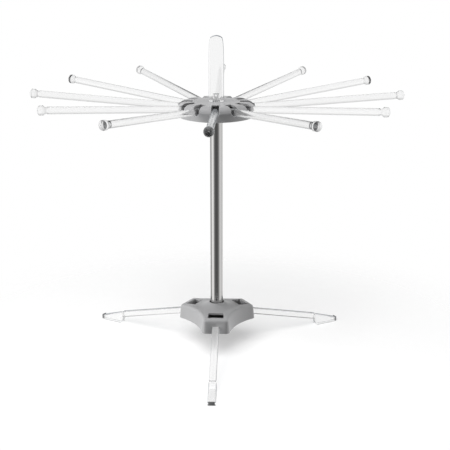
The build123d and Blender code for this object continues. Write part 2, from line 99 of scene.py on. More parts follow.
def clearPlasticOf(name, **own):
    # injection-moulded clear plastic: glossy, with rims drawn grey by painted shade, faint flow marks that bend what
    # is seen through it, and a trace of haze that keeps its darkest reflections grey
    sizes = dict(colour="#ffffff", ior=1.5, roughness=0.06, absorption=3.0,
                 flowWidth=18 * mm, flowDepth=0.2 * mm, flowStrength=0.03,
                 hazeAndRimShadeGrey="#8c9094", edgeFrom=0.66, rimShadeTo=1.0, edgeHaze=0.35, haze=0.02,
                 shadowColour="#e4e5e6", trappedColour="#9c9d9e", straightAfter=1, freeAfter=3)
    sizes.update(own)
    material, tree = startMaterial(name)
    place = addNode(tree, "ShaderNodeTexCoord")
    flow = addNode(tree, "ShaderNodeTexNoise", inputs={"Scale": 1 / sizes["flowWidth"], "Detail": 2.0},
                   links={"Vector": place.outputs["Object"]})
    bump = addNode(tree, "ShaderNodeBump", inputs={"Strength": sizes["flowStrength"], "Distance": sizes["flowDepth"]},
                   links={"Height": flow.outputs["Fac"]})
    clear = addNode(tree, "ShaderNodeBsdfPrincipled",
                    inputs={"Base Color": linearColour(sizes["colour"]), "IOR": sizes["ior"],
                            "Roughness": sizes["roughness"], "Transmission Weight": 1.0},
                    links={"Normal": bump.outputs["Normal"]})
    # seen edge on, its outlines are drawn grey with painted shade that stands for the dark surroundings the plastic
    # bends into view, but only from outside
    edge = addNode(tree, "ShaderNodeLayerWeight", inputs={"Blend": 0.5})
    rimShadeShare = addNode(tree, "ShaderNodeMapRange", settings={"interpolation_type": "SMOOTHSTEP"},
                        inputs={"From Min": sizes["edgeFrom"], "From Max": sizes["rimShadeTo"]},
                        links={"Value": edge.outputs["Facing"]})
    hazeAndRimShadeShare = addNode(tree, "ShaderNodeMapRange", inputs={"To Min": sizes["haze"], "To Max": sizes["edgeHaze"]},
                        links={"Value": rimShadeShare.outputs["Result"]})
    path = addNode(tree, "ShaderNodeLightPath")
    outside = addNode(tree, "ShaderNodeMath", settings={"operation": "LESS_THAN"}, inputs={1: 0.5},
                      links={0: path.outputs["Transmission Depth"]})
    outsideHazeAndRimShade = addNode(tree, "ShaderNodeMath", settings={"operation": "MULTIPLY"},
                          links={0: hazeAndRimShadeShare.outputs["Result"], 1: outside.outputs["Value"]})
    hazeAndRimShadeDiffuse = addNode(tree, "ShaderNodeBsdfDiffuse", inputs={"Color": linearColour(sizes["hazeAndRimShadeGrey"])})
    withHazeAndRimShade = addNode(tree, "ShaderNodeMixShader",
                    links={"Fac": outsideHazeAndRimShade.outputs["Value"], 1: clear.outputs["BSDF"], 2: hazeAndRimShadeDiffuse.outputs["BSDF"]})
    # lamps shine through it, so its shadow stays pale
    through = addNode(tree, "ShaderNodeBsdfTransparent", inputs={"Color": linearColour(sizes["shadowColour"])})
    lit = addNode(tree, "ShaderNodeMixShader",
                  links={"Fac": path.outputs["Is Shadow Ray"], 1: withHazeAndRimShade.outputs["Shader"],
                         2: through.outputs["BSDF"]})
    # light that has already passed a whole piece goes straight on, because the renderer would end it as black,
    # and so does light that is thrown to and fro inside one, as in the front rod's knob, but it comes out darker
    deep = addNode(tree, "ShaderNodeMath", settings={"operation": "GREATER_THAN"},
                   inputs={1: sizes["straightAfter"] + 0.5}, links={0: path.outputs["Transmission Depth"]})
    trapped = addNode(tree, "ShaderNodeMath", settings={"operation": "GREATER_THAN"},
                      inputs={1: sizes["freeAfter"] - 0.5}, links={0: path.outputs["Ray Depth"]})
    released = addNode(tree, "ShaderNodeMath", settings={"operation": "MAXIMUM"},
                       links={0: deep.outputs["Value"], 1: trapped.outputs["Value"]})
    onlyTrapped = addNode(tree, "ShaderNodeMath", settings={"operation": "GREATER_THAN"},
                          links={0: trapped.outputs["Value"], 1: deep.outputs["Value"]})
    straightColour = addNode(tree, "ShaderNodeMix", settings={"data_type": "RGBA"},  # its colours are sockets 6 and 7
                             inputs={6: linearColour("#ffffff"), 7: linearColour(sizes["trappedColour"])},
                             links={"Factor": onlyTrapped.outputs["Value"]})
    straight = addNode(tree, "ShaderNodeBsdfTransparent", links={"Color": straightColour.outputs[2]})
    whole = addNode(tree, "ShaderNodeMixShader",
                    links={"Fac": released.outputs["Value"], 1: lit.outputs["Shader"], 2: straight.outputs["BSDF"]})
    # light that runs along a rod comes out greyer than light that only crosses it
    absorbing = addNode(tree, "ShaderNodeVolumeAbsorption",
                        inputs={"Color": linearColour("#000000"), "Density": sizes["absorption"]})
    addNode(tree, "ShaderNodeOutputMaterial",
            links={"Surface": whole.outputs["Shader"], "Volume": absorbing.outputs["Volume"]})
    return material


def clearSoleRubberWithPaintedShade():
    # soft clear rubber bonded to the foot, so that little is seen of it but its nose, which is darkened with painted
    # shade
    sizes = dict(clear="#fafafa", shadeGrey="#7c7d7e", roughness=0.4, noseShadeLength=2.6 * mm, fade=1.4 * mm, haze=0.015,
                 sideShade=0.35, flat=0.5, bondedEnd=0.4 * mm)
    low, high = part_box("sole_front")
    noseShadeStart, heel = -low.y - sizes["noseShadeLength"], -high.y
    material, tree = startMaterial("clearRubberWithPaintedShade")
    place = addNode(tree, "ShaderNodeTexCoord")
    reach = addNode(tree, "ShaderNodeVectorMath", settings={"operation": "LENGTH"},
                    links={0: place.outputs["Object"]})
    # painted shade: a grey that darkens the nose
    noseShadeShare = addNode(tree, "ShaderNodeMapRange",
                          inputs={"From Min": noseShadeStart, "From Max": noseShadeStart + sizes["fade"],
                                  "To Min": sizes["haze"], "To Max": 1.0},
                          links={"Value": reach.outputs["Value"]})
    # painted shade draws a thin line along its steep sides under the foot, its flat faces and its heel are bonded and
    # clear
    lean = addNode(tree, "ShaderNodeSeparateXYZ", links={"Vector": place.outputs["Normal"]})
    steepness = addNode(tree, "ShaderNodeMath", settings={"operation": "ABSOLUTE"}, links={0: lean.outputs["Z"]})
    sideShadeShare = addNode(tree, "ShaderNodeMapRange",
                        inputs={"From Min": 0.0, "From Max": sizes["flat"],
                                "To Min": sizes["sideShade"], "To Max": 0.0},
                        links={"Value": steepness.outputs["Value"]})
    pastHeel = addNode(tree, "ShaderNodeMath", settings={"operation": "GREATER_THAN"},
                       inputs={1: heel + sizes["bondedEnd"]}, links={0: reach.outputs["Value"]})
    underLineShadeShare = addNode(tree, "ShaderNodeMath", settings={"operation": "MULTIPLY"},
                        links={0: sideShadeShare.outputs["Result"], 1: pastHeel.outputs["Value"]})
    share = addNode(tree, "ShaderNodeMath", settings={"operation": "MAXIMUM"},
                    links={0: noseShadeShare.outputs["Result"], 1: underLineShadeShare.outputs["Value"]})
    clear = addNode(tree, "ShaderNodeBsdfTransparent", inputs={"Color": linearColour(sizes["clear"])})
    shadeGrey = addNode(tree, "ShaderNodeBsdfPrincipled",
                     inputs={"Base Color": linearColour(sizes["shadeGrey"]), "Roughness": sizes["roughness"]})
    mixed = addNode(tree, "ShaderNodeMixShader",
                    links={"Fac": share.outputs["Value"], 1: clear.outputs["BSDF"], 2: shadeGrey.outputs["BSDF"]})
    addNode(tree, "ShaderNodeOutputMaterial", links={"Surface": mixed.outputs["Shader"]})
    return material


def mouldedGreyAbs():
    # injection-moulded grey ABS with a fine spark-eroded skin: a soft, wide sheen and a grain that shows close by
    sizes = dict(colour="#a0a0a1", paleColour="#a7a7a8", ior=1.53, mottle=9 * mm, smoothest=0.32, roughest=0.42,
                 grain=0.35 * mm, grainDepth=0.03 * mm, grainStrength=0.25)
    material, tree = startMaterial("mouldedGreyAbs")
    place = addNode(tree, "ShaderNodeTexCoord")
    grain = addNode(tree, "ShaderNodeTexNoise", inputs={"Scale": 1 / sizes["grain"], "Detail": 3.0},
                    links={"Vector": place.outputs["Object"]})
    mottle = addNode(tree, "ShaderNodeTexNoise", inputs={"Scale": 1 / sizes["mottle"], "Detail": 4.0},
                     links={"Vector": place.outputs["Object"]})
    colour = addNode(tree, "ShaderNodeMix", settings={"data_type": "RGBA"},
                     inputs={6: linearColour(sizes["colour"]), 7: linearColour(sizes["paleColour"])},
                     links={"Factor": mottle.outputs["Fac"]})
    rough = addNode(tree, "ShaderNodeMapRange", inputs={"To Min": sizes["smoothest"], "To Max": sizes["roughest"]},
                    links={"Value": mottle.outputs["Fac"]})
    bump = addNode(tree, "ShaderNodeBump",
                   inputs={"Strength": sizes["grainStrength"], "Distance": sizes["grainDepth"]},
                   links={"Height": grain.outputs["Fac"]})
    shader = addNode(tree, "ShaderNodeBsdfPrincipled", inputs={"IOR": sizes["ior"]},
                     links={"Base Color": colour.outputs[2], "Roughness": rough.outputs["Result"],
                            "Normal": bump.outputs["Normal"]})
    addNode(tree, "ShaderNodeOutputMaterial", links={"Surface": shader.outputs["BSDF"]})
    return material


def polishedSteelTube():
    # drawn stainless tube, polished lengthwise: crisp bands along it, with hair-fine draw lines
    sizes = dict(colour="#cdcccb", smoothest=0.10, roughest=0.20, lineWidth=0.5 * mm, lineLength=60 * mm,
                 lineDepth=0.02 * mm, lineStrength=0.12)
    material, tree = startMaterial("polishedSteelTube")
    place = addNode(tree, "ShaderNodeTexCoord")
    stretch = addNode(tree, "ShaderNodeMapping",
                      inputs={"Scale": (1 / sizes["lineWidth"], 1 / sizes["lineWidth"], 1 / sizes["lineLength"])},
                      links={"Vector": place.outputs["Object"]})
    lines = addNode(tree, "ShaderNodeTexNoise", inputs={"Scale": 1.0, "Detail": 3.0},
                    links={"Vector": stretch.outputs["Vector"]})
    rough = addNode(tree, "ShaderNodeMapRange", inputs={"To Min": sizes["smoothest"], "To Max": sizes["roughest"]},
                    links={"Value": lines.outputs["Fac"]})
    bump = addNode(tree, "ShaderNodeBump", inputs={"Strength": sizes["lineStrength"], "Distance": sizes["lineDepth"]},
                   links={"Height": lines.outputs["Fac"]})
    shader = addNode(tree, "ShaderNodeBsdfPrincipled",
                     inputs={"Base Color": linearColour(sizes["colour"]), "Metallic": 1.0},
                     links={"Roughness": rough.outputs["Result"], "Normal": bump.outputs["Normal"]})
    addNode(tree, "ShaderNodeOutputMaterial", links={"Surface": shader.outputs["BSDF"]})
    return material


def zincPlatedSteel():
    # zinc-plated screws: a dull bluish metal with a faint cloudiness
    sizes = dict(colour="#bfc1c4", cloud=1.5 * mm, smoothest=0.28, roughest=0.45)
    material, tree = startMaterial("zincPlatedSteel")
    place = addNode(tree, "ShaderNodeTexCoord")
    cloud = addNode(tree, "ShaderNodeTexNoise", inputs={"Scale": 1 / sizes["cloud"], "Detail": 3.0},
                    links={"Vector": place.outputs["Object"]})
    rough = addNode(tree, "ShaderNodeMapRange", inputs={"To Min": sizes["smoothest"], "To Max": sizes["roughest"]},
                    links={"Value": cloud.outputs["Fac"]})
    shader = addNode(tree, "ShaderNodeBsdfPrincipled",
                     inputs={"Base Color": linearColour(sizes["colour"]), "Metallic": 1.0},
                     links={"Roughness": rough.outputs["Result"]})
    addNode(tree, "ShaderNodeOutputMaterial", links={"Surface": shader.outputs["BSDF"]})
    return material


def blackNylon():
    # moulded black nylon: nearly matt, with a fine pebble from the mould
    sizes = dict(colour="#1c1c1d", smoothest=0.40, roughest=0.53, pebble=0.8 * mm, pebbleDepth=0.05 * mm,
                 pebbleStrength=0.3)
    material, tree = startMaterial("blackNylon")
    place = addNode(tree, "ShaderNodeTexCoord")
    pebble = addNode(tree, "ShaderNodeTexNoise", inputs={"Scale": 1 / sizes["pebble"], "Detail": 2.0},
                     links={"Vector": place.outputs["Object"]})
    rough = addNode(tree, "ShaderNodeMapRange", inputs={"To Min": sizes["smoothest"], "To Max": sizes["roughest"]},
                    links={"Value": pebble.outputs["Fac"]})
    bump = addNode(tree, "ShaderNodeBump",
                   inputs={"Strength": sizes["pebbleStrength"], "Distance": sizes["pebbleDepth"]},
                   links={"Height": pebble.outputs["Fac"]})
    shader = addNode(tree, "ShaderNodeBsdfPrincipled", inputs={"Base Color": linearColour(sizes["colour"])},
                     links={"Roughness": rough.outputs["Result"], "Normal": bump.outputs["Normal"]})
    addNode(tree, "ShaderNodeOutputMaterial", links={"Surface": shader.outputs["BSDF"]})
    return material


rodPlastic = clearPlasticOf("clearPolycarbonate", roughness=0.14, absorption=4.0)
# the legs, the grip and the feet have their rims drawn darker with painted shade, starting further from edge on
legPlastic = clearPlasticOf("clearLegPolycarbonate", edgeHaze=0.95, edgeFrom=0.55)
gripPlastic = clearPlasticOf("clearGripPolycarbonate", edgeHaze=1.0, edgeFrom=0.4, absorption=2.0)
wandRodPlastic = clearPlasticOf("clearPolycarbonateInTheGrip", straightAfter=6, freeAfter=8)
footVinyl = clearPlasticOf("clearSoftVinyl", edgeHaze=1.0, edgeFrom=0.35, roughness=0.12, shadowColour="#f0f1f1",
                           straightAfter=0)
soleRubberWithPaintedShade = clearSoleRubberWithPaintedShade()
greyPlastic = mouldedGreyAbs()
tubeSteel = polishedSteelTube()
screwSteel = zincPlatedSteel()
plugNylon = blackNylon()
print("materials made")


# Helpers for meshes and objects.

def smoothed(mesh, angle):
    # smooth shading, with edges sharper than the angle kept hard
    mesh.polygons.foreach_set("use_smooth", [True] * len(mesh.polygons))
    mesh.set_sharp_from_angle(angle=math.radians(angle))


def placedObject(name, data):
    # an object in the scene, of a mesh, a lamp or a camera
    piece = bpy.data.objects.new(name, data)
    bpy.context.scene.collection.objects.link(piece)
    return piece


def placedCopy(master, name, place):
    # a copy of a master piece with its place in its mesh
    mesh = master.data.copy()
    mesh.transform(place)
    return placedObject(name, mesh)


def asObject(shape, name, material, place=None, angle=hardTurn):
    # a bmesh as a finished object, with its place in its mesh
    if place is not None:
        bmesh.ops.transform(shape, matrix=place, verts=shape.verts)
    bmesh.ops.remove_doubles(shape, verts=shape.verts, dist=weldGap)
    bmesh.ops.recalc_face_normals(shape, faces=shape.faces)
    mesh = bpy.data.meshes.new(name)
    shape.to_mesh(mesh)
    shape.free()
    mesh.materials.append(material)
    smoothed(mesh, angle)
    return placedObject(name, mesh)


def spunShape(profile, steps, roundingSteps=6):
    # a closed outline of (along x, radius, rounding) corners, turned about the x axis
    shape = bmesh.new()
    corners = [shape.verts.new((x, radius, 0)) for x, radius, rounding in profile]
    shape.faces.new(corners)
    for corner, (x, radius, rounding) in zip(corners, profile):
        if rounding:
            bmesh.ops.bevel(shape, geom=[corner], offset=rounding, segments=roundingSteps, profile=0.5,
                            affect="VERTICES", material=-1)
    bmesh.ops.delete(shape, geom=list(shape.faces), context="FACES_ONLY")
    onAxis = [edge for edge in shape.edges if all(abs(v.co.y) < weldGap for v in edge.verts)]
    bmesh.ops.delete(shape, geom=onAxis, context="EDGES")
    bmesh.ops.spin(shape, geom=shape.verts[:] + shape.edges[:], cent=(0, 0, 0), axis=(1, 0, 0),
                   angle=2 * math.pi, steps=steps, use_merge=True, use_duplicate=False)
    bmesh.ops.remove_doubles(shape, verts=shape.verts, dist=weldGap)
    return shape


def trunnionPin(sizes, material):
    # the round pin across a root, which lies along the z axis
    half = sizes["trunnionLength"] / 2
    outline = [(-half, 0, 0), (-half, sizes["trunnionRadius"], sizes["trunnionEdge"]),
               (half, sizes["trunnionRadius"], sizes["trunnionEdge"]), (half, 0, 0)]
    return asObject(spunShape(outline, sizes["trunnionSteps"]), "pin", material,
                    Matrix.Rotation(math.pi / 2, 4, "Y"))


def drawnOut(shape, steps, direction):
    # a flat section drawn out along an axis in unit steps, with its first outline creased
    cap = shape.faces[:]
    for step in range(steps):
        raised = bmesh.ops.extrude_face_region(shape, geom=cap)
        if step > 0:
            bmesh.ops.delete(shape, geom=cap, context="FACES_ONLY")
        cap = [part for part in raised["geom"] if isinstance(part, bmesh.types.BMFace)]
        lifted = [part for part in raised["geom"] if isinstance(part, bmesh.types.BMVert)]
        bmesh.ops.translate(shape, verts=lifted, vec=direction)
    bmesh.ops.delete(shape, geom=[edge for edge in shape.edges if not edge.link_faces], context="EDGES")
    bmesh.ops.delete(shape, geom=[v for v in shape.verts if not v.link_faces], context="VERTS")
    crease = shape.edges.layers.float.new("crease_edge")
    halfStep = 0.5
    for edge in shape.edges:
        if all(abs(v.co.dot(Vector(direction))) < halfStep for v in edge.verts):
            edge[crease] = 1.0


def addRounder(piece, levels=2):
    rounder = piece.modifiers.new("rounder", "SUBSURF")
    rounder.levels = rounder.render_levels = levels


def frameAt(joint, tilt):
    # a turned frame at a joint: x outwards along the tilt, y up and z sideways
    pivot = Vector(joint["pos_m"])
    outwards = Vector((pivot.x, pivot.y, 0)).normalized()
    sideways = outwards.cross(Vector((0, 0, 1)))
    along = Matrix.Rotation(math.radians(tilt), 3, sideways) @ outwards
    place = Matrix((along, sideways.cross(along), sideways)).transposed().to_4x4()
    place.translation = pivot
    return place


def cutOrJoin(piece, tool, operation):
    # an exact Boolean, applied, after which the tool is gone
    modifier = piece.modifiers.new("boolean", "BOOLEAN")
    modifier.operation, modifier.object, modifier.solver = operation, tool, "EXACT"
    evaluated = piece.evaluated_get(bpy.context.evaluated_depsgraph_get())
    mesh = bpy.data.meshes.new_from_object(evaluated)
    piece.modifiers.clear()
    piece.data = mesh
    bpy.data.objects.remove(tool)
    smoothed(mesh, hardTurn)


def dressCopy(node, material):
    # the node's own shape as one joined skin with smooth curves, which stands for the node
    source = frame["nodes"][node]
    shape = bmesh.new()
    shape.from_mesh(source.data)
    bmesh.ops.remove_doubles(shape, verts=shape.verts, dist=weldGap)
    mesh = bpy.data.meshes.new(node + "Skin")
    shape.to_mesh(mesh)
    shape.free()
    mesh.materials.clear()
    mesh.materials.append(material)
    smoothed(mesh, copiedTurn)
    piece = placedObject(node + "Skin", mesh)
    weighted = piece.modifiers.new("weighted", "WEIGHTED_NORMAL")
    weighted.keep_sharp = True
    weighted.weight = 90  # of 100, so that large flat faces stay flat beside their small neighbours
    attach(piece, source["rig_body"])
    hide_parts(node)


# The grey mouldings, the soles and the small parts keep the frame's own shapes.
legNames = ["front", "right", "left"]
for node in ("base_cover", "base_plate", "hub_upper", "hub_lower"):
    dressCopy(node, greyPlastic)
for name in legNames:
    dressCopy("sole_" + name, soleRubberWithPaintedShade)
for node in ("base_screws", "hub_screws", "column_screw"):
    dressCopy(node, screwSteel)
dressCopy("column_plug", plugNylon)
print("mouldings dressed")


# The column.
column = dict(steps=128, wall=0.8 * mm, lip=0.25 * mm)
low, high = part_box("column_tube")
radius = (high.x - low.x) / 2
inside = radius - column["wall"]
outline = [(low.z, inside, column["lip"]), (low.z, radius, column["lip"]),
           (high.z, radius, column["lip"]), (high.z, inside, column["lip"])]
upright = Matrix.Rotation(-math.pi / 2, 4, "Y")
tube = asObject(spunShape(outline, column["steps"]), "columnTube", tubeSteel, upright)
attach(tube, "stand")
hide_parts("column_tube")
print("column made")


# The rods.
rod = dict(radius=4.3 * mm, length=193.55 * mm, rise=4.7, steps=64, rootRounding=4.214 * mm,
           neckLength=4.0 * mm, neckRadius=3.5 * mm, neckEdge=0.3 * mm, neckValley=0.5 * mm,
           knobLength=8.6 * mm, knobRadius=5.75 * mm, knobFoot=0.25 * mm, knobFlare=2.2 * mm, flareEdge=0.4 * mm,
           knobDome=2.0 * mm, domeEdge=0.78 * mm, domeShares=(0.3, 0.55, 0.8, 1.0),
           gateRadius=0.9 * mm, gateTop=0.765 * mm, gateHeight=0.3 * mm, gateEdge=0.1 * mm,
           trunnionRadius=2.4 * mm, trunnionLength=14.0 * mm, trunnionEdge=0.4 * mm, trunnionSteps=40)


def rodShape():
    # root on the left at the pivot, knob on the right
    r, end = rod["radius"], rod["length"]
    knob = end - rod["knobLength"]
    neck = knob - rod["neckLength"]
    outline = [(-r, 0, 0), (-r, r, rod["rootRounding"]), (neck, r, rod["neckEdge"]),
               (neck + rod["neckLength"] / 2, rod["neckRadius"], rod["neckValley"]), (knob, r, rod["knobFoot"]),
               (knob + rod["knobFlare"], rod["knobRadius"], rod["flareEdge"]),
               (end - rod["knobDome"], rod["knobRadius"], rod["domeEdge"])]
    # the dome is a cap of a sphere through the knob's edge and the rod's end, with the mould's gate in its middle
    wide, tall = rod["knobRadius"], rod["knobDome"]
    sphere = (wide ** 2 + tall ** 2) / (2 * tall)
    edgeAngle = math.asin(wide / sphere)
    gateAngle = math.asin(rod["gateRadius"] / sphere)
    for share in rod["domeShares"]:
        angle = edgeAngle + (gateAngle - edgeAngle) * share
        outline.append((end - sphere + sphere * math.cos(angle), sphere * math.sin(angle), 0))
    gate = end + rod["gateHeight"]
    outline += [(gate, rod["gateTop"], rod["gateEdge"]), (gate, 0, 0)]
    return spunShape(outline, rod["steps"])


rodMaster = asObject(rodShape(), "rodMaster", rodPlastic)
cutOrJoin(rodMaster, trunnionPin(rod, rodPlastic), "UNION")
for joint in frame["joints"]:
    body = joint["child"]
    if body.startswith("rod_"):
        piece = placedCopy(rodMaster, "clearRod" + body[-2:], frameAt(joint, rod["rise"]))
        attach(piece, body)
        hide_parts(body)
bpy.data.objects.remove(rodMaster)
print("rods made")


# The legs and their feet.
leg = dict(width=8.5 * mm, depth=7.6 * mm, length=120.33 * mm, slope=-14.49, edge=1.1 * mm, edgeSteps=5,
           rootShare=0.999, rootSteps=12, rootWeld=0.02 * mm, collarLength=0.8 * mm, collarStep=0.3 * mm,
           trunnionRadius=3.3 * mm, trunnionLength=17.0 * mm, trunnionEdge=0.4 * mm, trunnionSteps=40)
foot = dict(width=10.0 * mm, corner=0.6, cornerSteps=5, joint=0.05,
            # in mm: radius and height of the underside, radius and height of the top, then the share of the width
            stations=((149.15, 9.2, 150.85, 15.8, 0.98), (149.6, 8.2, 151.2, 15.7, 1.0),
                      (151.9, 2.9, 153.0, 15.1, 1.0), (152.7, 1.5, 154.0, 14.8, 1.0),
                      (154.5, 1.45, 156.0, 14.2, 1.0), (166.0, 1.45, 166.5, 10.9, 1.0),
                      (177.0, 1.45, 177.0, 7.5, 1.0), (180.5, 1.45, 180.4, 6.4, 0.98),
                      (182.6, 1.7, 182.2, 5.8, 0.9), (183.9, 2.3, 183.4, 5.2, 0.76),
                      (184.6, 3.0, 184.3, 4.5, 0.58)))


def legBar():
    # the side view, rounded at the root, drawn out to the leg's width with its long edges rounded
    shape = bmesh.new()
    deep, end = leg["depth"] / 2, leg["length"] - leg["collarLength"] / 2
    corners = [shape.verts.new(point) for point in
               ((-deep, -deep, 0), (end, -deep, 0), (end, deep, 0), (-deep, deep, 0))]
    shape.faces.new(corners)
    bmesh.ops.bevel(shape, geom=[corners[0], corners[3]], offset=deep * leg["rootShare"],
                    segments=leg["rootSteps"], profile=0.5, affect="VERTICES", material=-1)
    bmesh.ops.remove_doubles(shape, verts=shape.verts, dist=leg["rootWeld"])
    raised = bmesh.ops.extrude_face_region(shape, geom=shape.faces[:])
    lifted = [part for part in raised["geom"] if isinstance(part, bmesh.types.BMVert)]
    bmesh.ops.translate(shape, verts=lifted, vec=(0, 0, leg["width"]))
    bmesh.ops.translate(shape, verts=shape.verts, vec=(0, 0, -leg["width"] / 2))
    rims = [edge for edge in shape.edges if abs(edge.verts[0].co.z - edge.verts[1].co.z) < weldGap]
    bmesh.ops.bevel(shape, geom=rims, offset=leg["edge"], segments=leg["edgeSteps"], profile=0.5,
                    affect="EDGES", material=-1)
    return shape


def legCollar():
    # a thin block from x = 0, a step wider than the leg, with its long edges rounded
    length, step = leg["collarLength"], 2 * leg["collarStep"]
    shape = bmesh.new()
    bmesh.ops.create_cube(shape, size=1.0)
    bmesh.ops.scale(shape, verts=shape.verts, vec=(length, leg["depth"] + step, leg["width"] + step))
    bmesh.ops.translate(shape, verts=shape.verts, vec=(length / 2, 0, 0))
    longEdges = [edge for edge in shape.edges if abs(edge.verts[0].co.x - edge.verts[1].co.x) > length / 2]
    bmesh.ops.bevel(shape, geom=longEdges, offset=leg["edge"], segments=leg["edgeSteps"], profile=0.5,
                    affect="EDGES", material=-1)
    return shape


def footShape():
    # a rounded section drawn out in unit steps, after which each step takes its station's place and size
    shape = bmesh.new()
    bmesh.ops.create_grid(shape, x_segments=1, y_segments=1, size=1.0)
    bmesh.ops.bevel(shape, geom=shape.verts[:], offset=foot["corner"], segments=foot["cornerSteps"], profile=0.5,
                    affect="VERTICES", material=-1)
    bmesh.ops.rotate(shape, verts=shape.verts, matrix=Matrix.Rotation(math.pi / 2, 3, "Y"))
    drawnOut(shape, len(foot["stations"]) - 1, (1, 0, 0))
    for v in shape.verts:
        lowRadius, lowHeight, topRadius, topHeight, share = foot["stations"][round(v.co.x)]
        rise = (1 - v.co.z) / 2
        v.co = ((lowRadius + (topRadius - lowRadius) * rise + foot["joint"]) * mm,
                (lowHeight + (topHeight - lowHeight) * rise) * mm, v.co.y * share * foot["width"] / 2)
    return shape


legMaster = asObject(legBar(), "legMaster", legPlastic)
collar = asObject(legCollar(), "collar", legPlastic, Matrix.Translation((leg["length"] - leg["collarLength"], 0, 0)))
cutOrJoin(legMaster, trunnionPin(leg, legPlastic), "UNION")
cutOrJoin(legMaster, collar, "UNION")
print("leg shape:", len(legMaster.data.polygons), "faces")
footMaster = asObject(footShape(), "footMaster", footVinyl, angle=softTurn)

for name in legNames:
    body = "leg_" + name
    joint = next(joint for joint in frame["joints"] if joint["child"] == body)
    level = frameAt(joint, 0)
    level.translation = (0, 0, 0)
    bar = placedCopy(legMaster, "clearLeg" + name.title(), frameAt(joint, leg["slope"]))
    shoe = placedCopy(footMaster, "clearFoot" + name.title(), level)
    addRounder(shoe)
    for piece, node in ((bar, "leg_" + name), (shoe, "foot_" + name)):
        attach(piece, body)
        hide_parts(node)
for master in (legMaster, footMaster):
    bpy.data.objects.remove(master)
print("legs made")


# The wand: its rod and its grip.
wand = dict(rodRadius=4.3 * mm, rodSteps=64, tipRounding=4.2 * mm, rootEdge=0.3 * mm,
            socketRadius=4.35 * mm, socketDepth=9.0 * mm, socketStart=-1.0 * mm, socketEdge=0.3 * mm, socketSteps=48,
            columns=6, rows=2, flatness=1.6, corner=0.42, cornerSteps=6,
            crown=2.6, crownFrom=64, crownLength=15.8,  # in mm, how far the top's corners drop, and from what height
            # in mm: height above the foot, half the width and half the depth
            stations=((0, 9.3, 5.75), (2, 9.3, 5.75), (16, 9.2, 5.75), (30, 9.2, 5.75), (42, 9.25, 5.75),
                      (54, 9.2, 5.75), (64, 9.0, 5.75), (70, 8.65, 5.75), (75.0, 8.1, 5.75), (78.2, 7.6, 5.75),
                      (79.4, 7.35, 5.6), (79.8, 6.9, 5.2), (79.8, 5.4, 4.0)))
low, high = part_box("wand_rod")
outline = [(low.z, 0, 0), (low.z, wand["rodRadius"], wand["tipRounding"]),
           (high.z, wand["rodRadius"], wand["rootEdge"]), (high.z, 0, 0)]
piece = asObject(spunShape(outline, wand["rodSteps"]), "wandRod", wandRodPlastic, upright)
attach(piece, "wand")
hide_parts("wand_rod")


def gripShape():
    # a rounded flat section drawn up in unit steps, each of which then takes its height, width and depth
    flatness = wand["flatness"]
    shape = bmesh.new()
    bmesh.ops.create_grid(shape, x_segments=wand["columns"], y_segments=wand["rows"], size=1.0)
    bmesh.ops.scale(shape, verts=shape.verts, vec=(flatness, 1, 1))
    corners = [v for v in shape.verts if len(v.link_edges) == 2]
    bmesh.ops.bevel(shape, geom=corners, offset=wand["corner"], segments=wand["cornerSteps"], profile=0.5,
                    affect="VERTICES", material=-1)
    bmesh.ops.scale(shape, verts=shape.verts, vec=(1 / flatness, 1, 1))
    drawnOut(shape, len(wand["stations"]) - 1, (0, 0, 1))
    for v in shape.verts:
        height, width, depth = wand["stations"][round(v.co.z)]
        drop = wand["crown"] * v.co.x ** 2 * max(0, height - wand["crownFrom"]) / wand["crownLength"]
        v.co = (v.co.x * width * mm, v.co.y * depth * mm, (height - drop) * mm)
    return shape


onFoot = Matrix.Translation((0, 0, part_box("wand_grip")[0].z))
grip = asObject(gripShape(), "clearGrip", gripPlastic, onFoot, softTurn)
addRounder(grip)
outline = [(wand["socketStart"], 0, 0), (wand["socketStart"], wand["socketRadius"], 0),
           (wand["socketDepth"], wand["socketRadius"], wand["socketEdge"]), (wand["socketDepth"], 0, 0)]
socket = asObject(spunShape(outline, wand["socketSteps"]), "socket", gripPlastic, onFoot @ upright)
cutOrJoin(grip, socket, "DIFFERENCE")
print("grip shape:", len(grip.data.polygons), "faces")
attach(grip, "wand")
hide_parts("wand_grip")
print("wand made")


# The floor.
floorSizes = dict(colour="#ffffff", radius=0.62, segments=96, fadeFrom=0.20, fadeTo=0.45, shadowShare=0.65,
                  white=1.0)


